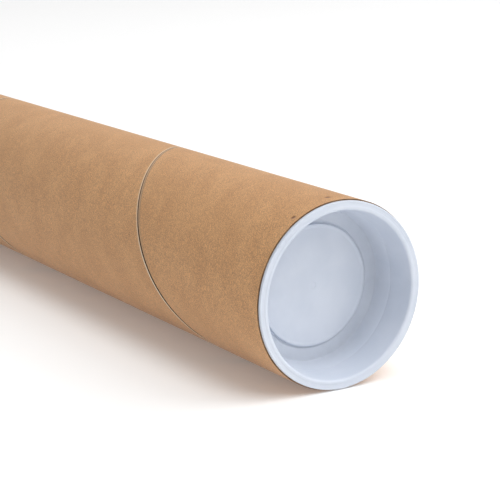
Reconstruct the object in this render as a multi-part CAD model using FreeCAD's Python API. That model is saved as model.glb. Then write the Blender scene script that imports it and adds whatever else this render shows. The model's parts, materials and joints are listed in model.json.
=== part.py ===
import FreeCAD, Part
import math
import os

# Drawing tube: a spirally wound paperboard tube, closed at each end by a moulded plug cap.
# The tube lies along X with its front end at +X and rests on the plane z = 0, below its middle.
# All sizes are in millimetres.

# Wound tube
TUBE_LENGTH = 650.0             # between the two cut ends
BORE_DIAMETER = 76.2            # nominal 3 inch bore
OUTER_PLY_THICKNESS = 0.25      # smooth kraft wrap
CORE_PLY_THICKNESS = 0.35       # each chipboard ply
LINER_PLY_THICKNESS = 0.25      # smooth kraft lining
CORE_PLY_COUNT = 4
GLUE_FILM = 0.02                # between one ply and the next
STRIP_WIDTH = 153.0             # outer ply's strip, square to its own edges
SEAM_GAP = 0.7                  # between one turn's edge and the next
OUTER_SEAM_FROM_FRONT = 141.0   # along the top line, from the front cut end to the outer seam

# Flange of a plug cap
FLANGE_SETBACK = 0.5            # the flange's rim stays inside the tube's outside by this much
FLANGE_THICKNESS = 1.5
FLANGE_FRONT_ROUND = 0.5
FLANGE_BACK_ROUND = 0.3
MOUTH_ROUND = 1.1               # lip between the flange's face and the cup

# Cup of a plug cap: depths run from the flange's face into the tube
PLUG_WALL = 1.9
GRIP_CLEARANCE = 0.05           # radial, between the grip beads and the bore
BEAD_HEIGHT = 0.45              # above the cup's outside at the mouth
BEAD_WIDTH = 1.6
BEAD_DEPTHS = (4.2, 9.0)        # middle of each bead
KNUCKLE_DEPTH = 13.5            # where the wall turns to its steeper taper
UPPER_DRAFT = 4.7               # degrees, from the mouth to the knuckle
LOWER_DRAFT = 12.4              # degrees, from the knuckle to the floor
FLOOR_DEPTH = 21.7
FLOOR_THICKNESS = 1.6
FLOOR_CORNER_ROUND = 0.9
NOSE_ROUND = 1.5
PANEL_WIDTH_SHARE = 0.80        # raised middle panel's radius over the floor's
PANEL_RISE = 0.7
PANEL_ROUND = 0.35
GATE_RADIUS = 1.6               # shallow dimple left where the plastic was injected
GATE_DEPTH = 0.3

# Derived sizes
BORE_R = BORE_DIAMETER / 2
PLY_COUNT = CORE_PLY_COUNT + 2
WALL = (OUTER_PLY_THICKNESS + CORE_PLY_COUNT * CORE_PLY_THICKNESS + LINER_PLY_THICKNESS
        + (PLY_COUNT - 1) * GLUE_FILM)
TUBE_R = BORE_R + WALL
AXIS_HEIGHT = TUBE_R
HALF_LENGTH = TUBE_LENGTH / 2
GIRTH = 2 * math.pi * TUBE_R
STRIP_PITCH = STRIP_WIDTH + SEAM_GAP
WINDING_PITCH = STRIP_PITCH * GIRTH / math.sqrt(GIRTH ** 2 - STRIP_PITCH ** 2)
AXIAL_GAP = SEAM_GAP * WINDING_PITCH / STRIP_PITCH
TIP_WIDTH = SEAM_GAP            # the saw leaves a strip's tip as blunt as the seam beside it is wide
SEAM_OVERSHOOT = 0.5            # the slot's cutter passes this far beyond both faces of its ply
TIP_OVERSHOOT = 0.1             # the tip's cutter passes this far into the open seam

CENTRE = FreeCAD.Vector(0, 0, 0)
ALONG = FreeCAD.Vector(0, 0, 1)     # each piece is made about Z, then laid along X
TO_FRONT = FreeCAD.Rotation(FreeCAD.Vector(0, 1, 0), 90)
TO_REAR = FreeCAD.Rotation(FreeCAD.Vector(0, 1, 0), -90)
TOP_ANGLE = 180                     # angle about Z that ends up on the tube's top line


def laid(shape, x, rotation):
    """The shape turned to lie along X, with its own origin at x on the tube's axis."""
    shape.Placement = FreeCAD.Placement(FreeCAD.Vector(x, 0, AXIS_HEIGHT), rotation)
    return shape


def seam_turn(inner_r, outer_r):
    """One full turn of the helical slot between two neighbouring edges of a wound strip."""
    corners = [
        (inner_r - SEAM_OVERSHOOT, -AXIAL_GAP / 2),
        (outer_r + SEAM_OVERSHOOT, -AXIAL_GAP / 2),
        (outer_r + SEAM_OVERSHOOT, AXIAL_GAP / 2),
        (inner_r - SEAM_OVERSHOOT, AXIAL_GAP / 2),
    ]
    helices = []
    for radius, offset in corners:
        helix = Part.makeHelix(WINDING_PITCH, WINDING_PITCH, radius)
        helix.translate(ALONG * offset)
        helices.append(Part.Wire(helix.Edges))
    faces = []
    for k, helix in enumerate(helices):
        faces += Part.makeRuledSurface(helices[k - 1], helix).Faces
    for height in (0, WINDING_PITCH):
        outline = [FreeCAD.Vector(radius, 0, height + offset) for radius, offset in corners]
        faces.append(Part.Face(Part.makePolygon(outline + outline[:1])))
    shell = Part.makeShell(faces)
    shell.sewShape()
    return Part.makeSolid(shell)


def tip_block(inner_r, outer_r):
    """Cutter for the sharp tip that a strip runs out to beside the seam at the tube's front end."""
    arc = TIP_WIDTH * GIRTH / WINDING_PITCH
    corner = FreeCAD.Vector(inner_r - SEAM_OVERSHOOT, -arc, HALF_LENGTH - TIP_WIDTH)
    depth = outer_r - inner_r + 2 * SEAM_OVERSHOOT
    block = Part.makeBox(depth, arc + TIP_OVERSHOOT, TIP_WIDTH + SEAM_OVERSHOOT, corner)
    block.rotate(CENTRE, ALONG, 360 * (HALF_LENGTH - AXIAL_GAP / 2) / WINDING_PITCH)
    return block


def wound_ply(inner_r, thickness, seam_shift):
    """One strip wound into a tube, with its open seam moved back along the tube by seam_shift."""
    outer_r = inner_r + thickness
    base = FreeCAD.Vector(0, 0, -HALF_LENGTH)
    sleeve = Part.makeCylinder(outer_r, TUBE_LENGTH, base).cut(
        Part.makeCylinder(inner_r, TUBE_LENGTH, base))
    turns_each_way = math.ceil(HALF_LENGTH / WINDING_PITCH) + 1
    slots = []
    for turn in range(-turns_each_way, turns_each_way):
        slot = seam_turn(inner_r, outer_r)
        slot.translate(ALONG * (turn * WINDING_PITCH))
        slots.append(slot)
    tips = [tip_block(inner_r, outer_r), tip_block(inner_r, outer_r)]
    tips[1].rotate(CENTRE, FreeCAD.Vector(1, 0, 0), 180)
    ply = sleeve.cut(slots).cut(tips)
    seam_at_top = HALF_LENGTH - OUTER_SEAM_FROM_FRONT - seam_shift
    ply.rotate(CENTRE, ALONG, TOP_ANGLE - 360 * seam_at_top / WINDING_PITCH)
    return laid(Part.makeCompound(ply.Solids), 0, TO_FRONT)


def wound_plies():
    """All the plies from the bore outwards, as {node name: shape}, their seams staggered."""
    names = ["kraft_liner_ply"]
    names += ["paperboard_ply_%d" % (k + 1) for k in range(CORE_PLY_COUNT)]
    names += ["kraft_wrap_ply"]
    thicknesses = [LINER_PLY_THICKNESS] + [CORE_PLY_THICKNESS] * CORE_PLY_COUNT + [OUTER_PLY_THICKNESS]
    plies = {}
    inner_r = BORE_R
    for k, (name, thickness) in enumerate(zip(names, thicknesses)):
        plies_outside = PLY_COUNT - 1 - k
        plies[name] = wound_ply(inner_r, thickness, plies_outside * WINDING_PITCH / PLY_COUNT)
        inner_r += thickness + GLUE_FILM
    return plies


def rounded_outline(corners):
    """A closed wire through (radius, depth, rounding) corners, each rounded by a tangent arc."""
    points = [FreeCAD.Vector(radius, 0, -depth) for radius, depth, _ in corners]
    starts = []
    ends = []
    arcs = []
    for k, point in enumerate(points):
        rounding = corners[k][2]
        if rounding == 0:
            starts.append(point)
            ends.append(point)
            arcs.append(None)
            continue
        back = (points[k - 1] - point).normalize()
        ahead = (points[(k + 1) % len(points)] - point).normalize()
        half_angle = back.getAngle(ahead) / 2
        bisector = (back + ahead).normalize()
        start = point + back * (rounding / math.tan(half_angle))
        end = point + ahead * (rounding / math.tan(half_angle))
        middle = point + bisector * (rounding / math.sin(half_angle) - rounding)
        starts.append(start)
        ends.append(end)
        arcs.append(Part.Arc(start, middle, end).toShape())
    edges = []
    for k, arc in enumerate(arcs):
        if arc:
            edges.append(arc)
        following = starts[(k + 1) % len(points)]
        edges.append(Part.LineSegment(ends[k], following).toShape())
    return Part.Wire(edges)


def turned(corners):
    """A solid of revolution about Z from (radius, depth, rounding) corners."""
    return Part.Face(rounded_outline(corners)).revolve(CENTRE, ALONG, 360)


def cup_outside(depth):
    """Radius of the cup's outer wall at a depth below the flange's face."""
    upper = min(depth, KNUCKLE_DEPTH) * math.tan(math.radians(UPPER_DRAFT))
    lower = max(depth - KNUCKLE_DEPTH, 0) * math.tan(math.radians(LOWER_DRAFT))
    return BORE_R - GRIP_CLEARANCE - BEAD_HEIGHT - upper - lower


def cup_inside(depth):
    """Radius of the cup's inner wall at a depth below the flange's face."""
    return cup_outside(depth) - PLUG_WALL


def grip_bead(depth):
    """A ring round the cup, crowned to reach the bore, rooted in the cup's wall."""
    root_r = cup_outside(depth) - PLUG_WALL / 2
    crown_r = BORE_R - GRIP_CLEARANCE
    half = BEAD_WIDTH / 2
    return turned([
        (root_r, depth - half, 0),
        (crown_r, depth - half, BEAD_WIDTH / 3),
        (crown_r, depth + half, BEAD_WIDTH / 3),
        (root_r, depth + half, 0),
    ])


def plug_cap():
    """A plug cap about Z: its flange's face at z = 0, its cup hanging below."""
    flange_r = TUBE_R - FLANGE_SETBACK
    panel_r = cup_inside(FLOOR_DEPTH) * PANEL_WIDTH_SHARE
    underside = FLOOR_DEPTH + FLOOR_THICKNESS
    panel_face = FLOOR_DEPTH - PANEL_RISE
    panel_back_r = panel_r - FLOOR_THICKNESS / 2
    cap = turned([
        (0, panel_face, 0),
        (panel_r, panel_face, PANEL_ROUND),
        (panel_r, FLOOR_DEPTH, PANEL_ROUND / 2),
        (cup_inside(FLOOR_DEPTH), FLOOR_DEPTH, FLOOR_CORNER_ROUND),
        (cup_inside(KNUCKLE_DEPTH), KNUCKLE_DEPTH, 0),
        (cup_inside(0), 0, MOUTH_ROUND),
        (flange_r, 0, FLANGE_FRONT_ROUND),
        (flange_r, FLANGE_THICKNESS, FLANGE_BACK_ROUND),
        (cup_outside(FLANGE_THICKNESS), FLANGE_THICKNESS, 0),
        (cup_outside(KNUCKLE_DEPTH), KNUCKLE_DEPTH, 0),
        (cup_outside(underside), underside, NOSE_ROUND),
        (panel_back_r, underside, PANEL_ROUND / 2),
        (panel_back_r, underside - PANEL_RISE, PANEL_ROUND / 2),
        (0, underside - PANEL_RISE, 0),
    ])
    for depth in BEAD_DEPTHS:
        cap = cap.fuse(grip_bead(depth))
    gate_base = FreeCAD.Vector(0, 0, -panel_face - GATE_DEPTH)
    return cap.cut(Part.makeCylinder(GATE_RADIUS, 2 * GATE_DEPTH, gate_base))


parts = wound_plies()
parts["front_cap"] = laid(plug_cap(), HALF_LENGTH + FLANGE_THICKNESS, TO_FRONT)
parts["rear_cap"] = laid(plug_cap(), -HALF_LENGTH - FLANGE_THICKNESS, TO_REAR)

os.makedirs("parts", exist_ok=True)
for node, shape in parts.items():
    shape.exportStep("parts/%s.step" % node)
    print(node, "solids", len(shape.Solids), "faces", len(shape.Faces), "volume", round(shape.Volume, 1))
print("wall", round(WALL, 3), "tube radius", TUBE_R, "winding pitch", round(WINDING_PITCH, 2))
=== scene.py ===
import json
import math

import bpy
import numpy as np
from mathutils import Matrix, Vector, noise

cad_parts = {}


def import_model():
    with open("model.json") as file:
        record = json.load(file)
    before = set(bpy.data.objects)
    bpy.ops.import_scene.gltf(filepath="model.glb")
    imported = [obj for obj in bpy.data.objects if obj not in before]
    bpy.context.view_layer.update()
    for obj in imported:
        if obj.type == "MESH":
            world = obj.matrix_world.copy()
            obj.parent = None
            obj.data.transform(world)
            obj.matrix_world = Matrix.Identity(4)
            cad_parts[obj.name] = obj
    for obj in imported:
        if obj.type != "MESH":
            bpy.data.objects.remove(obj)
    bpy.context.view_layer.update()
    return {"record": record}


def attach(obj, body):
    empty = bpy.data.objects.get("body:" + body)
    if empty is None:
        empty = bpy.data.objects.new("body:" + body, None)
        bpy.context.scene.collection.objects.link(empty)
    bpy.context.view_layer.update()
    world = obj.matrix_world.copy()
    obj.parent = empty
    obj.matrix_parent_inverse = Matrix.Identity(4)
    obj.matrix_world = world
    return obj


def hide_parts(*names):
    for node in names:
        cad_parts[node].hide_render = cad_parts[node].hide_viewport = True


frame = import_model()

# ---------------------------------------------------------------- sizes, in metres
MM = 0.001
TO_MM = 1000
MOUNTS = {mount["name"]: mount for mount in frame["record"]["mounts"]}
TUBE_R = MOUNTS["tube_outside"]["dims"]["r_mm"] * MM
TUBE_LENGTH = MOUNTS["tube_outside"]["dims"]["length_mm"] * MM
AXIS_Z = MOUNTS["tube_outside"]["pos_m"][2]
FRONT_FACE_X = MOUNTS["front_end_face"]["pos_m"][0]
END_X = TUBE_LENGTH / 2

# Wound strips
STRIP_WIDTH = 153.0 * MM
STRIP_GAP = 0.7 * MM            # between one turn's edge and the next
TIP_WIDTH = STRIP_GAP           # a strip's pointed ends are cut this blunt
GIRTH = math.tau * TUBE_R
STRIP_PITCH = STRIP_WIDTH + STRIP_GAP
WINDING_PITCH = STRIP_PITCH * GIRTH / math.sqrt(GIRTH ** 2 - STRIP_PITCH ** 2)
LEAD_ANGLE = math.atan2(WINDING_PITCH, GIRTH)
OUTER_SEAM_FROM_FRONT = 141.0 * MM      # where the wrap's seam crosses the top of the tube
TOP = math.pi / 2               # angles run about +X, from +Y towards +Z

# Plies: a paper inside, the core's boards, a paper outside
PAPER = 0.25 * MM
BOARD = 0.35 * MM
GLUE_FILM = 0.02 * MM
CORE_PLY_COUNT = 4
PLY_COUNT = CORE_PLY_COUNT + 2
BORE_R = TUBE_R - 2 * PAPER - CORE_PLY_COUNT * BOARD - (PLY_COUNT - 1) * GLUE_FILM

# Plug cap; depths are measured from the flange's face into the tube
FLANGE_SETBACK = 0.5 * MM
FLANGE_THICKNESS = FRONT_FACE_X - END_X
GRIP_CLEARANCE = 0.05 * MM
BEAD_HEIGHT = 0.45 * MM
BEAD_WIDTH = 1.6 * MM
BEAD_CREST_SHARE = 0.7          # of a bead's width, across its flat crest
BEAD_DEPTHS = (4.2 * MM, 9.0 * MM)
PLUG_WALL = 1.9 * MM
KNUCKLE_DEPTH = 13.5 * MM       # where the cup's taper changes
KNUCKLE_GROOVE = 0.12 * MM
KNUCKLE_REACH = 0.6 * MM        # the groove's half width
UPPER_DRAFT = math.radians(4.7)
LOWER_DRAFT = math.radians(12.4)
FLOOR_DEPTH = 21.7 * MM
FLOOR_THICKNESS = 1.6 * MM
PANEL_WIDTH_SHARE = 0.80
PANEL_RISE = 0.7 * MM
PANEL_BEAD = 0.18 * MM          # raised edge round the panel
CHANNEL_DIP = 0.35 * MM         # narrow channel at the panel's foot
LIP_RELIEF = 0.12 * MM          # the flange's face between its two raised edges
GATE_RADIUS = 1.6 * MM          # dimple in the panel's middle
GATE_DEPTH = 0.12 * MM


# ---------------------------------------------------------------- shader helpers
NOISE_LOW = 0.3                 # nearly all of a noise texture lies between these two
NOISE_HIGH = 0.7


class Shader:
    """A material's node tree, with short calls for the nodes that these materials use."""

    def __init__(self, name):
        self.material = bpy.data.materials.new(name)
        self.material.use_nodes = True
        self.tree = self.material.node_tree
        self.surface = self.tree.nodes["Principled BSDF"]

    def link(self, source, target):
        self.tree.links.new(source, target)

    def put(self, socket, value):
        """Sets a socket from a number, a colour or another node's output."""
        if isinstance(value, bpy.types.NodeSocket):
            self.link(value, socket)
        else:
            socket.default_value = value

    def set(self, name, value):
        """Sets one of the surface's own sockets."""
        self.put(self.surface.inputs[name], value)

    def stored(self, name, output):
        """A value that the mesh stores for each of its points."""
        node = self.tree.nodes.new("ShaderNodeAttribute")
        node.attribute_name = name
        return node.outputs[output]

    def place(self):
        return self.tree.nodes.new("ShaderNodeTexCoord").outputs["Object"]

    def vector(self, operation, a, b):
        node = self.tree.nodes.new("ShaderNodeVectorMath")
        node.operation = operation
        self.put(node.inputs[0], a)
        self.put(node.inputs[1], b)
        return node.outputs["Value"] if operation == "DISTANCE" else node.outputs["Vector"]

    def math(self, operation, a, b=0.0):
        node = self.tree.nodes.new("ShaderNodeMath")
        node.operation = operation
        self.put(node.inputs[0], a)
        self.put(node.inputs[1], b)
        return node.outputs["Value"]

    def times(self, a, b):
        return self.math("MULTIPLY", a, b)

    def part(self, vector, axis):
        node = self.tree.nodes.new("ShaderNodeSeparateXYZ")
        self.link(vector, node.inputs["Vector"])
        return node.outputs[axis]

    def noise(self, vector, scale, detail, rough):
        node = self.tree.nodes.new("ShaderNodeTexNoise")
        self.link(vector, node.inputs["Vector"])
        node.inputs["Scale"].default_value = scale
        node.inputs["Detail"].default_value = detail
        node.inputs["Roughness"].default_value = rough
        return node.outputs["Fac"]

    def spread(self, value, low, high, to_low=0.0, to_high=1.0):
        """Maps low..high smoothly to to_low..to_high, and holds the ends."""
        node = self.tree.nodes.new("ShaderNodeMapRange")
        node.interpolation_type = "SMOOTHSTEP"
        self.link(value, node.inputs["Value"])
        node.inputs["From Min"].default_value = low
        node.inputs["From Max"].default_value = high
        node.inputs["To Min"].default_value = to_low
        node.inputs["To Max"].default_value = to_high
        return node.outputs["Result"]

    def vary(self, texture, to_low=0.0, to_high=1.0):
        """Maps the range that a noise texture really fills to to_low..to_high."""
        return self.spread(texture, NOISE_LOW, NOISE_HIGH, to_low, to_high)

    def mix(self, factor, a, b):
        node = self.tree.nodes.new("ShaderNodeMix")
        node.data_type = "RGBA"
        self.put(node.inputs["Factor"], factor)
        self.put(node.inputs["A"], a)
        self.put(node.inputs["B"], b)
        return node.outputs["Result"]

    def shade(self, colour, value):
        """The colour multiplied by a grey value."""
        node = self.tree.nodes.new("ShaderNodeVectorMath")
        node.operation = "SCALE"
        self.link(colour, node.inputs[0])
        self.put(node.inputs["Scale"], value)
        return node.outputs["Vector"]

    def bump(self, height, distance, strength, after=None):
        node = self.tree.nodes.new("ShaderNodeBump")
        node.inputs["Strength"].default_value = strength
        node.inputs["Distance"].default_value = distance
        self.link(height, node.inputs["Height"])
        if after is not None:
            self.link(after, node.inputs["Normal"])
        return node.outputs["Normal"]


def rgb(red, green, blue):
    """A linear colour with full alpha, from 8-bit sRGB values."""
    def linear(value):
        share = value / 255
        return share / 12.92 if share <= 0.04045 else ((share + 0.055) / 1.055) ** 2.4
    return (linear(red), linear(green), linear(blue), 1.0)


def in_mm(shader, vector):
    return shader.vector("MULTIPLY", vector, (TO_MM, TO_MM, TO_MM))


# ---------------------------------------------------------------- materials
WRAP_LIGHT = rgb(206, 157, 108)
WRAP_DARK = rgb(197, 148, 100)
LINER_LIGHT = rgb(198, 158, 120)
LINER_DARK = rgb(186, 146, 108)
DENT_MARK = rgb(112, 70, 44)
RAW_PAPER = rgb(240, 222, 196)
PRESSED_PAPER = rgb(164, 144, 120)
CREASE = rgb(96, 74, 56)
BOARD_LIGHT = rgb(176, 158, 132)
BOARD_DARK = rgb(150, 130, 106)
# near-black painted shade for the board under the wrap's seam gap
SEAM_GAP_SHADE = rgb(48, 26, 12)
SAWN_LIGHT = rgb(150, 120, 92)
SAWN_DARK = rgb(116, 88, 66)
PLASTIC_LIGHT = rgb(214, 220, 231)
PLASTIC_DARK = rgb(207, 214, 226)

KRAFT_FIBRES = (0.5, 2.2, 1)    # squeezes a texture across the strip, so that fibres run along it
BOARD_FIBRES = (0.7, 2.4, 1)
SIDE_BLEND = 0.05               # mm on each side of the seam's middle
RAW_EDGE = (0.45, 0.85)         # mm in from a strip's edge, where the pale raw paper fades out
PRESSED_BAND = (0.8, 1.5)       # mm, where the pressed band fades out
CREASE_NEAR = (1.0, 1.2)        # mm, where the crease beside the band comes in
CREASE_FAR = (1.3, 1.5)         # mm, where it fades out
SEAM_SHADE_REACH = (1.1, 2.4)         # mm from the outer seam, where the painted shade under its gap fades out
PAINTED_CHANNEL_SHADE = 0.11                     # share of the plastic's brightness that the painted shade in the channel round the cup's floor takes away


def kraft_paper(name, light, dark, dents=()):
    """Smooth kraft paper: faint clouds, fine grain and fibres, the seam's edges, small dark dents."""
    shader = Shader(name)
    unrolled = in_mm(shader, shader.stored("unrolled", "Vector"))
    clouds = shader.noise(unrolled, scale=0.05, detail=3.0, rough=0.5)
    mottle = shader.noise(unrolled, scale=0.25, detail=3.0, rough=0.5)
    grain = shader.noise(unrolled, scale=2.1, detail=2.0, rough=0.6)
    combed = shader.vector("MULTIPLY", unrolled, KRAFT_FIBRES)
    fibres = shader.noise(combed, scale=1.3, detail=3.0, rough=0.6)
    specks = shader.noise(unrolled, scale=1.1, detail=2.0, rough=0.4)

    colour = shader.mix(shader.vary(clouds), dark, light)
    colour = shader.shade(colour, shader.vary(mottle, 0.97, 1.03))
    colour = shader.shade(colour, shader.vary(grain, 0.66, 1.30))
    colour = shader.shade(colour, shader.vary(fibres, 0.88, 1.12))
    colour = shader.shade(colour, shader.spread(specks, 0.70, 0.78, 1.0, 0.80))
    colour = seam_edges(shader, colour, unrolled, grain)

    height = shader.math("ADD", shader.times(grain, 0.6), shader.times(fibres, 0.4))
    normal = shader.bump(height, distance=0.12 * MM, strength=0.9)
    normal = shader.bump(mottle, distance=0.10 * MM, strength=0.4, after=normal)
    for middle, radius in dents:
        colour, normal = dent(shader, colour, normal, middle, radius)

    shader.set("Base Color", colour)
    shader.set("Roughness", shader.vary(grain, 0.60, 0.78))
    shader.set("Normal", normal)
    shader.set("Specular IOR Level", 0.35)
    shader.set("Sheen Weight", 0.24)
    shader.set("Sheen Roughness", 0.4)
    return shader.material


def dent(shader, colour, normal, middle, radius):
    """Adds a small dark dent to a colour and a normal, and gives both back."""
    away = shader.vector("DISTANCE", shader.place(), middle)
    mark = shader.spread(away, radius * 0.2, radius, 1.0, 0.0)
    colour = shader.mix(shader.times(mark, 0.85), colour, DENT_MARK)
    normal = shader.bump(shader.times(mark, -1.0), distance=0.25 * MM, strength=0.9, after=normal)
    return colour, normal


def seam_edges(shader, colour, unrolled, grain):
    """Pale raw edge behind the seam; in front of it a greyish pressed band and a crease, near the top."""
    side = shader.times(shader.stored("seam", "Fac"), TO_MM)
    rear = shader.spread(side, -SIDE_BLEND, SIDE_BLEND, 1, 0)
    front = shader.spread(side, -SIDE_BLEND, SIDE_BLEND)
    height = shader.part(shader.place(), "Z")
    upper = shader.spread(height, AXIS_Z - 0.2 * TUBE_R, AXIS_Z + 0.7 * TUBE_R)
    inward = shader.math("ADD", shader.part(unrolled, "Z"), shader.vary(grain, -0.12, 0.12))

    raw = shader.times(shader.spread(inward, *RAW_EDGE, 1, 0), rear)
    raw = shader.times(raw, shader.spread(height, AXIS_Z - 0.2 * TUBE_R, AXIS_Z + 0.5 * TUBE_R, 1, 0.5))
    colour = shader.mix(raw, colour, RAW_PAPER)
    pressed = shader.times(front, upper)
    band = shader.times(shader.spread(inward, *PRESSED_BAND, 1, 0), pressed)
    colour = shader.mix(shader.times(band, 0.6), colour, PRESSED_PAPER)
    crease = shader.times(shader.spread(inward, *CREASE_NEAR), shader.spread(inward, *CREASE_FAR, 1, 0))
    crease = shader.times(crease, pressed)
    return shader.mix(shader.times(crease, 0.6), colour, CREASE)


def chipboard():
    """Recycled board of the core plies: coarse and fibrous, with painted shade, near black, along the outer
    ply's seam where the gap's shadow falls.
    """
    shader = Shader("chipboard")
    unrolled = in_mm(shader, shader.stored("unrolled", "Vector"))
    clouds = shader.noise(unrolled, scale=0.2, detail=4.0, rough=0.6)
    combed = shader.vector("MULTIPLY", unrolled, BOARD_FIBRES)
    fibres = shader.noise(combed, scale=1.0, detail=4.0, rough=0.65)
    flecks = shader.noise(unrolled, scale=2.2, detail=2.0, rough=0.5)
    colour = shader.mix(shader.vary(clouds), BOARD_DARK, BOARD_LIGHT)
    colour = shader.shade(colour, shader.vary(fibres, 0.86, 1.1))
    colour = shader.shade(colour, shader.spread(flecks, 0.62, 0.74, 1.0, 0.72))
    # painted shade: the board under the wrap's seam is darkened to near black where the gap's shadow falls
    from_seam = shader.math("ABSOLUTE", shader.times(shader.stored("seam", "Fac"), TO_MM))
    seam_shade = shader.spread(from_seam, *SEAM_SHADE_REACH, 1.0, 0.0)
    colour = shader.mix(shader.times(seam_shade, 0.95), colour, SEAM_GAP_SHADE)
    shader.set("Base Color", colour)
    shader.set("Normal", shader.bump(fibres, distance=0.12 * MM, strength=0.8))
    shader.set("Roughness", 0.92)
    shader.set("Specular IOR Level", 0.15)
    return shader.material


def cut_edge():
    """Cut edge of a ply: darker and fuzzy."""
    shader = Shader("cut_edge")
    place = in_mm(shader, shader.place())
    fuzz = shader.noise(place, scale=2.4, detail=4.0, rough=0.7)
    scorch = shader.noise(place, scale=0.25, detail=3.0, rough=0.5)
    colour = shader.mix(shader.spread(scorch, 0.35, 0.65), SAWN_DARK, SAWN_LIGHT)
    colour = shader.shade(colour, shader.vary(fuzz, 0.7, 1.15))
    shader.set("Base Color", colour)
    shader.set("Normal", shader.bump(fuzz, distance=0.2 * MM, strength=1.0))
    shader.set("Roughness", 0.95)
    shader.set("Specular IOR Level", 0.1)
    return shader.material


def cap_plastic():
    """White low-density polyethylene: satin, slightly translucent, with faint moulding marks and painted
    shade in the channel round the cup's floor.
    """
    shader = Shader("cap_plastic")
    place = in_mm(shader, shader.place())
    flow = shader.noise(place, scale=0.06, detail=3.0, rough=0.5)
    ripple = shader.noise(place, scale=0.35, detail=2.0, rough=0.5)
    scuff = shader.noise(place, scale=3.5, detail=4.0, rough=0.7)
    colour = shader.mix(shader.vary(flow), PLASTIC_DARK, PLASTIC_LIGHT)
    # painted shade: the plastic is darkened in the channel round the cup's floor
    colour = shader.shade(colour, kept_under_painted_shade(shader, ripple))
    shader.set("Base Color", colour)
    shader.set("Roughness", shader.vary(scuff, 0.30, 0.40))
    normal = shader.bump(ripple, distance=0.10 * MM, strength=0.5)
    normal = shader.bump(scuff, distance=0.01 * MM, strength=0.4, after=normal)
    shader.set("Normal", normal)
    shader.set("IOR", 1.51)
    shader.set("Subsurface Weight", 0.12)
    shader.set("Subsurface Radius", (1.2 * MM, 1.2 * MM, 1.3 * MM))
    shader.set("Subsurface Scale", 1.0)
    return shader.material


def kept_under_painted_shade(shader, ripple):
    """The share of its brightness that the plastic keeps under painted shade: least in the channel round
    the cup's floor.
    """
    depth = shader.math("SUBTRACT", FRONT_FACE_X, shader.math("ABSOLUTE", shader.part(shader.place(), "X")))
    across = shader.vector("MULTIPLY", shader.place(), (0, 1, 1))
    radius = shader.vector("DISTANCE", across, (0, 0, AXIS_Z))
    panel_r = cup_inside(FLOOR_DEPTH) * PANEL_WIDTH_SHARE
    channel = shader.times(
        shader.spread(depth, KNUCKLE_DEPTH, FLOOR_DEPTH - PANEL_RISE),
        shader.spread(radius, panel_r, panel_r + 0.5 * MM))
    uneven = shader.times(channel, shader.spread(ripple, 0.2, 0.8, 0.7, 1.0))
    return shader.math("SUBTRACT", 1.0, shader.times(uneven, PAINTED_CHANNEL_SHADE))


# ---------------------------------------------------------------- wound plies
ROW_STEP = math.radians(2.5)
GAP_SAMPLES = 60
WRAP_COLUMNS = 40               # in the middle of a strip, between the close ones at its edges
INNER_COLUMNS = 8
EDGE_COLUMNS = [0, 0.12, 0.26, 0.45, 0.8, 1.4, 2.4, 4.0]    # mm in from a strip's edge
SHARP_ANGLE = math.radians(40)
PAPER_FACE = 0                  # material slots of a strip
CUT_FACE = 1

# The wrap's seam gap along the winding, as shares of STRIP_GAP
WRAP_GAP_MEAN = 1.6
WRAP_GAP_SWING = 1.15           # once a turn
WRAP_GAP_PHASE = 2.9
WRAP_GAP_WOBBLE = 0.1
WRAP_GAP_WOBBLE_RATE = 2.3      # times a turn

RAGGED = 0.12 * MM              # unevenness of the cut ends
RAGGED_DETAIL = 9
DIP_DEPTH = 0.05 * MM           # the wrap's soft hollows
DIP_LENGTH = 0.03
DIPS_AROUND = 1.6
PRESS_DEPTH = 0.09 * MM         # how far the wrap's edges are pressed down
PRESS_REACH = 0.35 * MM

UV_MARGIN = 0.01
UV_TURN = 0.47                  # height of one turn in the layout
UV_INNER = 0.5                  # how far up the inner faces are moved

# Small dark dents at the wrap's front end: distance from the end, angle about +X, radius
DENTS = (
    (6.5 * MM, math.radians(93), 1.9 * MM),
    (3.6 * MM, math.radians(121), 1.6 * MM),
)


def seam_x(angle, seam_at_top):
    """Middle of the seam at an angle about +X, counted on through the turns."""
    return seam_at_top + WINDING_PITCH * (angle - TOP) / math.tau


def steady_gap(angle):
    return np.full_like(angle, STRIP_GAP)


def outer_gap(angle):
    """The wrap's seam opens and closes along its length."""
    swing = WRAP_GAP_SWING * np.sin(angle - WRAP_GAP_PHASE)
    wobble = WRAP_GAP_WOBBLE * np.sin(WRAP_GAP_WOBBLE_RATE * angle)
    return STRIP_GAP * (WRAP_GAP_MEAN + swing + wobble)


def column_shares(middle_columns):
    """Where the mesh's columns lie across a strip, from 0 to 1, closer together near its edges."""
    width = WINDING_PITCH / MM
    edge = np.array(EDGE_COLUMNS)
    middle = np.linspace(EDGE_COLUMNS[-1], width - EDGE_COLUMNS[-1], middle_columns + 2)[1:-1]
    return np.concatenate([edge, middle, width - edge[::-1]]) / width


def row_angles(seam_at_top, gap_at):
    """Angles of the mesh's rows, from where the strip enters at the rear end to where it leaves."""
    def reach(x):
        return TOP + (x - seam_at_top) / WINDING_PITCH * math.tau
    gap = float(np.max(gap_at(np.linspace(0, math.tau, GAP_SAMPLES))))
    first = reach(-END_X) - math.tau + (gap + TIP_WIDTH) / WINDING_PITCH * math.tau
    last = reach(END_X) - (gap + TIP_WIDTH) / WINDING_PITCH * math.tau
    count = int((last - first) / ROW_STEP)
    return np.linspace(first, last, count)


def wave(angle, seed):
    """A smooth uneven function of an angle, between about -1 and 1."""
    reach = RAGGED_DETAIL
    return np.array([noise.noise(Vector((math.cos(a) * reach, math.sin(a) * reach, seed))) for a in angle])


def flat_relief(angle, x, edge):
    return np.zeros_like(x)


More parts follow.
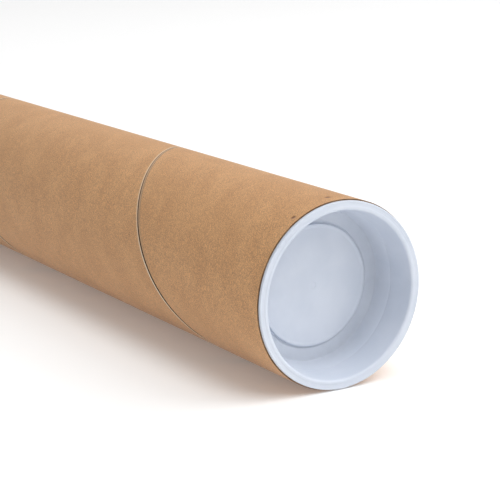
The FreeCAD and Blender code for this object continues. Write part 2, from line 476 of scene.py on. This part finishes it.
def wrap_relief(angle, x, edge):
    """How far the wrap's surface dips below its full radius: soft hollows and pressed-down edges."""
    dips = np.zeros_like(x)
    for index in np.ndindex(x.shape):
        turn = angle[index[0]]
        place = Vector((x[index] / DIP_LENGTH, math.cos(turn) * DIPS_AROUND, math.sin(turn) * DIPS_AROUND))
        dips[index] = 0.5 + 0.5 * noise.noise(place)
    return -DIP_DEPTH * dips - PRESS_DEPTH * np.exp(-edge / PRESS_REACH)


def slab_faces(rows, columns):
    """A closed slab's faces, each with its corners, its row and its material slot.

    The outer skin's points come first, row by row, and the inner skin's after them in the same order.
    """
    inside = rows * columns
    faces = []
    for row in range(rows - 1):
        for column in range(columns - 1):
            a = row * columns + column
            b = a + columns
            faces.append(((a, b, b + 1, a + 1), row, PAPER_FACE))
            faces.append(((a + inside, a + 1 + inside, b + 1 + inside, b + inside), row, PAPER_FACE))
        for column, order in ((0, 1), (columns - 1, -1)):
            a = row * columns + column
            b = a + columns
            faces.append(((a, a + inside, b + inside, b)[::order], row, CUT_FACE))
    for row, order in ((0, 1), (rows - 1, -1)):
        for column in range(columns - 1):
            a = row * columns + column
            b = a + 1
            faces.append(((a, b, b + inside, a + inside)[::order], min(row, rows - 2), CUT_FACE))
    return faces


def wound_strip(name, inner_r, outer_r, seam_at_top, middle_columns, gap_at, relief):
    """A closed thin slab wound on a cylinder between two seams and cut square at the tube's ends."""
    angle = row_angles(seam_at_top, gap_at)
    share = column_shares(middle_columns)
    ragged = RAGGED * (0.5 + 0.5 * wave(angle, outer_r / MM))
    low_edge = seam_x(angle, seam_at_top) + gap_at(angle) / 2
    high_edge = seam_x(angle + math.tau, seam_at_top) - gap_at(angle + math.tau) / 2
    low = np.maximum(low_edge, -END_X + ragged)
    high = np.minimum(high_edge, END_X - ragged)
    x = low[:, None] + share[None, :] * (high - low)[:, None]
    edge = np.minimum(x - low_edge[:, None], high_edge[:, None] - x) * math.cos(LEAD_ANGLE)
    edge = np.maximum(edge, 0)

    def skin(radius):
        turn = np.broadcast_to(angle[:, None], x.shape)
        points = np.stack([x, radius * np.cos(turn), AXIS_Z + radius * np.sin(turn)], axis=-1)
        return points.reshape(-1, 3)

    points = np.concatenate([skin(outer_r + relief(angle, x, edge)), skin(np.full_like(x, inner_r))])
    corners, face_rows, slots = zip(*slab_faces(*x.shape))
    mesh = bpy.data.meshes.new(name)
    mesh.from_pydata(points.tolist(), [], corners)
    mesh.polygons.foreach_set("material_index", slots)
    unroll(mesh, angle, x, edge, outer_r)
    lay_out(mesh, angle, np.array(face_rows), x.size, x.shape[1])
    mesh.shade_smooth()
    mesh.set_sharp_from_angle(angle=SHARP_ANGLE)
    return link_object(name, mesh)


def unroll(mesh, angle, x, edge, radius):
    """Stores each point's place on the flat strip, and how far it is from the outer ply's seam.

    The place is along the strip, across it and in from its nearest edge; in front of the seam is positive.
    """
    arc = np.broadcast_to(radius * angle[:, None], x.shape)
    along = arc * math.cos(LEAD_ANGLE) + x * math.sin(LEAD_ANGLE)
    across = x * math.cos(LEAD_ANGLE) - arc * math.sin(LEAD_ANGLE)
    flat = np.stack([along, across, edge], axis=-1).reshape(-1, 3)
    store = mesh.attributes.new("unrolled", "FLOAT_VECTOR", "POINT")
    store.data.foreach_set("vector", np.concatenate([flat, flat]).astype(np.float32).ravel())
    ahead = x - seam_x(angle, END_X - OUTER_SEAM_FROM_FRONT)[:, None]
    nearest = (ahead + WINDING_PITCH / 2) % WINDING_PITCH - WINDING_PITCH / 2
    seam = (nearest * math.cos(LEAD_ANGLE)).ravel()
    store = mesh.attributes.new("seam", "FLOAT", "POINT")
    store.data.foreach_set("value", np.concatenate([seam, seam]).astype(np.float32))


def lay_out(mesh, angle, face_rows, inside, columns):
    """A flat layout for the bake: length across, girth up, the outer faces below the inner ones.

    Points from number inside onwards belong to the inner skin.
    """
    layer = mesh.uv_layers.new(name="OFBake")
    corners = np.zeros(len(mesh.loops), np.int32)
    mesh.loops.foreach_get("vertex_index", corners)
    totals = np.zeros(len(mesh.polygons), np.int32)
    mesh.polygons.foreach_get("loop_total", totals)
    row_of_face = np.repeat(face_rows, totals)
    row = (corners % inside) // columns
    turns = angle / math.tau
    up = turns[row] - np.floor(turns[row_of_face])
    places = np.zeros(len(mesh.vertices) * 3, np.float32)
    mesh.vertices.foreach_get("co", places)
    length = (places.reshape(-1, 3)[corners, 0] + END_X) / TUBE_LENGTH
    on_inner_skin = (corners >= inside).astype(float)
    u = UV_MARGIN + (1 - 2 * UV_MARGIN) * length
    v = UV_MARGIN + UV_TURN * up + UV_INNER * on_inner_skin
    layer.data.foreach_set("uv", np.stack([u, v], axis=-1).astype(np.float32).ravel())


def link_object(name, data):
    thing = bpy.data.objects.new(name, data)
    bpy.context.scene.collection.objects.link(thing)
    return thing


def on_wrap(from_front, angle):
    """A point on the wrap, by its distance from the front cut end and its angle about +X."""
    return (END_X - from_front, TUBE_R * math.cos(angle), AXIS_Z + TUBE_R * math.sin(angle))


def wound_tube():
    """All six plies, each standing for its CAD node."""
    dents = [(on_wrap(from_front, angle), radius) for from_front, angle, radius in DENTS]
    wrap = kraft_paper("kraft_wrap", WRAP_LIGHT, WRAP_DARK, dents)
    liner = kraft_paper("kraft_liner", LINER_LIGHT, LINER_DARK)
    board = chipboard()
    edge = cut_edge()
    plies = [("liner_paper", "kraft_liner_ply", PAPER, liner, "kraft_liner")]
    for k in range(CORE_PLY_COUNT):
        plies.append(("core_board_%d" % (k + 1), "paperboard_ply_%d" % (k + 1), BOARD, board, "chipboard"))
    plies.append(("kraft_wrap", "kraft_wrap_ply", PAPER, wrap, "kraft_wrap"))
    inner_r = BORE_R
    for k, (name, node, thickness, paper, slot) in enumerate(plies):
        outermost = k == PLY_COUNT - 1
        plies_outside = PLY_COUNT - 1 - k
        seam_at_top = END_X - OUTER_SEAM_FROM_FRONT - plies_outside * WINDING_PITCH / PLY_COUNT
        piece = wound_strip(
            name, inner_r, inner_r + thickness, seam_at_top,
            WRAP_COLUMNS if outermost else INNER_COLUMNS,
            outer_gap if outermost else steady_gap,
            wrap_relief if outermost else flat_relief)
        piece.data.materials.append(paper)
        piece.data.materials.append(edge)
        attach(piece, "tube")
        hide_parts(node)
        inner_r += thickness + GLUE_FILM


# ---------------------------------------------------------------- plug caps
CAP_SEGMENTS = 224
PROFILE_STEP = 0.9 * MM
ARC_STEPS = 7


def cup_outside(depth):
    upper = min(depth, KNUCKLE_DEPTH) * math.tan(UPPER_DRAFT)
    lower = max(depth - KNUCKLE_DEPTH, 0) * math.tan(LOWER_DRAFT)
    return BORE_R - GRIP_CLEARANCE - BEAD_HEIGHT - upper - lower


def cup_inside(depth):
    return cup_outside(depth) - PLUG_WALL


def bead_corners(depth):
    """The four corners of a grip bead's outline, on the cup's outer wall."""
    crest_r = BORE_R - GRIP_CLEARANCE
    half = BEAD_WIDTH / 2
    return [
        (cup_outside(depth - half), depth - half, 0.25 * MM),
        (crest_r, depth - half * BEAD_CREST_SHARE, 0.45 * MM),
        (crest_r, depth + half * BEAD_CREST_SHARE, 0.45 * MM),
        (cup_outside(depth + half), depth + half, 0.25 * MM),
    ]


def panel_corners():
    """The cup's floor from its middle out to the wall: gate dimple, panel, its bead and the channel."""
    panel_r = cup_inside(FLOOR_DEPTH) * PANEL_WIDTH_SHARE
    panel_face = FLOOR_DEPTH - PANEL_RISE
    bead_face = panel_face - PANEL_BEAD
    channel = FLOOR_DEPTH + CHANNEL_DIP
    return [
        (0, panel_face + GATE_DEPTH, 0),
        (GATE_RADIUS * 0.8, panel_face + GATE_DEPTH, 0.3 * MM),
        (GATE_RADIUS, panel_face, 0.3 * MM),
        (panel_r - 1.6 * MM, panel_face, 0.5 * MM),
        (panel_r - 0.9 * MM, bead_face, 0.4 * MM),
        (panel_r, bead_face, 0.3 * MM),
        (panel_r + 0.15 * MM, channel, 0.25 * MM),
        (panel_r + 0.75 * MM, channel, 0.25 * MM),
        (panel_r + 1.2 * MM, FLOOR_DEPTH, 0.3 * MM),
        (cup_inside(FLOOR_DEPTH), FLOOR_DEPTH, 0.45 * MM),
    ]


def knuckle_corners():
    """The shallow groove inside the cup where its taper changes."""
    deeper = KNUCKLE_DEPTH + KNUCKLE_REACH
    higher = KNUCKLE_DEPTH - KNUCKLE_REACH
    return [
        (cup_inside(deeper), deeper, 0.3 * MM),
        (cup_inside(KNUCKLE_DEPTH) + KNUCKLE_GROOVE, KNUCKLE_DEPTH, 0.2 * MM),
        (cup_inside(higher), higher, 0.3 * MM),
    ]


def flange_corners():
    """The flange from the cup's mouth, over its two raised edges, to the back of the rim."""
    mouth_r = cup_inside(0)
    rim_r = TUBE_R - FLANGE_SETBACK
    return [
        (mouth_r, 0, 1.0 * MM),
        (mouth_r + 1.5 * MM, 0, 0.4 * MM),
        (mouth_r + 1.8 * MM, LIP_RELIEF, 0.3 * MM),
        (rim_r - 0.9 * MM, LIP_RELIEF, 0.4 * MM),
        (rim_r - 0.6 * MM, 0, 0.3 * MM),
        (rim_r, 0, 0.30 * MM),
        (rim_r, FLANGE_THICKNESS, 0.35 * MM),
        (cup_outside(FLANGE_THICKNESS), FLANGE_THICKNESS, 0.3 * MM),
    ]


def underside_corners():
    """The cup's outer wall below the beads and its underside, back to the middle."""
    underside = FLOOR_DEPTH + FLOOR_THICKNESS
    panel_back_r = cup_inside(FLOOR_DEPTH) * PANEL_WIDTH_SHARE - FLOOR_THICKNESS / 2
    return [
        (cup_outside(KNUCKLE_DEPTH), KNUCKLE_DEPTH, 0.8 * MM),
        (cup_outside(underside), underside, 1.5 * MM),
        (panel_back_r, underside, 0.3 * MM),
        (panel_back_r, underside - PANEL_RISE, 0.3 * MM),
        (0, underside - PANEL_RISE, 0),
    ]


def cap_outline():
    """(radius, depth, rounding) corners from the middle of the inner face round to the underside."""
    corners = panel_corners() + knuckle_corners() + flange_corners()
    for depth in BEAD_DEPTHS:
        corners += bead_corners(depth)
    return corners + underside_corners()


def rounded(corners):
    """A polyline through the corners with each one rounded, and long runs divided."""
    points = []
    for k, (radius, depth, rounding) in enumerate(corners):
        here = Vector((radius, depth))
        if rounding == 0:
            points.append(here)
            continue
        back = (Vector(corners[k - 1][:2]) - here).normalized()
        ahead = (Vector(corners[k + 1][:2]) - here).normalized()
        half_angle = back.angle(ahead) / 2
        reach = rounding / math.tan(half_angle)
        centre = here + (back + ahead).normalized() * (rounding / math.sin(half_angle))
        start = here + back * reach - centre
        end = here + ahead * reach - centre
        turn = start.angle_signed(end)
        for step in range(ARC_STEPS + 1):
            spin = -turn * (step / ARC_STEPS)
            points.append(centre + Vector((
                start.x * math.cos(spin) - start.y * math.sin(spin),
                start.x * math.sin(spin) + start.y * math.cos(spin))))
    divided = [points[0]]
    for point in points[1:]:
        last = divided[-1]
        pieces = max(1, math.ceil((point - last).length / PROFILE_STEP))
        for k in range(1, pieces + 1):
            divided.append(last.lerp(point, k / pieces))
    return divided


def plug_cap(name, node, body, facing, material):
    """A cap turned from its outline, its flange's face at the tube's end, facing along +X or -X."""
    profile = rounded(cap_outline())
    ring = profile[1:-1]
    points = []
    for place in ring:
        for k in range(CAP_SEGMENTS):
            spin = math.tau * k / CAP_SEGMENTS
            points.append((
                facing * (FRONT_FACE_X - place.y),
                place.x * math.cos(spin),
                AXIS_Z + place.x * math.sin(spin)))
    poles = [len(points), len(points) + 1]
    for place in (profile[0], profile[-1]):
        points.append((facing * (FRONT_FACE_X - place.y), 0, AXIS_Z))
    faces = []
    for k in range(CAP_SEGMENTS):
        after = (k + 1) % CAP_SEGMENTS
        last = (len(ring) - 1) * CAP_SEGMENTS
        faces.append((poles[0], k, after)[::facing])
        faces.append((poles[1], last + after, last + k)[::facing])
        for row in range(len(ring) - 1):
            a = row * CAP_SEGMENTS
            b = a + CAP_SEGMENTS
            faces.append((a + k, b + k, b + after, a + after)[::facing])
    mesh = bpy.data.meshes.new(name)
    mesh.from_pydata(points, [], faces)
    mesh.shade_smooth()
    mesh.materials.append(material)
    piece = link_object(name, mesh)
    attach(piece, body)
    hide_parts(node)


# ---------------------------------------------------------------- studio
WHITE = (1, 1, 1, 1)
FLOOR_COLOUR = (0.9, 0.9, 0.9, 1)
FLOOR_ROUGHNESS = 0.9
FLOOR_GLOW = 0.14
FLOOR_HALF = 40.0
WORLD_STRENGTH = 0.34
OVERHEAD_DIRECTION = (-0.26, 0.10, 0.96)
OVERHEAD_STRENGTH = 0.50
OVERHEAD_SPREAD = math.radians(52)
LAMP_SIZE = 1.8
# Each lamp: name, direction from the front cap, distance, power
LAMPS = (
    ("high_front", (0.29, 0.10, 0.95), 4.3, 32),
    ("front", (0.63, 0.00, 0.78), 4.1, 43),
    ("front_right", (0.33, 0.53, 0.78), 4.1, 40),
    ("right", (0.04, 0.79, 0.61), 4.2, 34),
    ("low_right", (0.67, 0.69, 0.27), 4.5, 14),
)
SENSOR_WIDTH = 36               # mm
FOCAL_LENGTH = 120.97           # mm
VIEW_LIMIT = 50
CAMERA_OFFSET = (13.510, -9.573, 4.399)     # from the middle of the front cap's face, in tube radii
CAMERA_AIM = (-0.8245, 0.5168, -0.2305)


def point_along(thing, direction):
    """Turns a lamp or the camera to look along a direction."""
    thing.rotation_mode = "QUATERNION"
    thing.rotation_quaternion = direction.to_track_quat("-Z", "Y")


def floor():
    shader = Shader("studio_white")
    shader.set("Base Color", FLOOR_COLOUR)
    shader.set("Roughness", FLOOR_ROUGHNESS)
    shader.set("Emission Color", WHITE)
    shader.set("Emission Strength", FLOOR_GLOW)
    corners = [(x * FLOOR_HALF, y * FLOOR_HALF, 0) for x, y in ((-1, -1), (1, -1), (1, 1), (-1, 1))]
    mesh = bpy.data.meshes.new("studio_floor")
    mesh.from_pydata(corners, [], [(0, 1, 2, 3)])
    mesh.materials.append(shader.material)
    link_object("studio_floor", mesh)


def world():
    air = bpy.data.worlds.new("studio_air")
    air.use_nodes = True
    background = air.node_tree.nodes["Background"].inputs
    background["Color"].default_value = WHITE
    background["Strength"].default_value = WORLD_STRENGTH
    bpy.context.scene.world = air


def overhead():
    """A very wide sun, for the soft light from above."""
    lamp = bpy.data.lights.new("overhead", "SUN")
    lamp.energy = OVERHEAD_STRENGTH
    lamp.angle = OVERHEAD_SPREAD
    light = link_object("overhead", lamp)
    point_along(light, -Vector(OVERHEAD_DIRECTION))


def soft_light(name, offset, power):
    """A square lamp that faces the front cap, offset from it."""
    lamp = bpy.data.lights.new(name, "AREA")
    lamp.size = LAMP_SIZE
    lamp.energy = power
    light = link_object(name, lamp)
    light.location = Vector((FRONT_FACE_X, 0, AXIS_Z)) + offset
    point_along(light, -offset)


def studio():
    floor()
    world()
    overhead()
    for name, direction, distance, power in LAMPS:
        soft_light(name, Vector(direction) * distance, power)
    bpy.context.scene.view_settings.view_transform = "Standard"


def camera():
    """The photograph's view, from above the front end and to one side."""
    lens = bpy.data.cameras.new("camera")
    lens.sensor_width = SENSOR_WIDTH
    lens.lens = FOCAL_LENGTH
    lens.clip_end = VIEW_LIMIT
    view = link_object("camera", lens)
    ahead, across, up = CAMERA_OFFSET
    view.location = (FRONT_FACE_X + ahead * TUBE_R, across * TUBE_R, AXIS_Z + up * TUBE_R)
    point_along(view, Vector(CAMERA_AIM))
    bpy.context.scene.camera = view


camera()
studio()
wound_tube()
plastic = cap_plastic()
plug_cap("front_plug_cap", "front_cap", "front_cap", 1, plastic)
plug_cap("rear_plug_cap", "rear_cap", "rear_cap", -1, plastic)
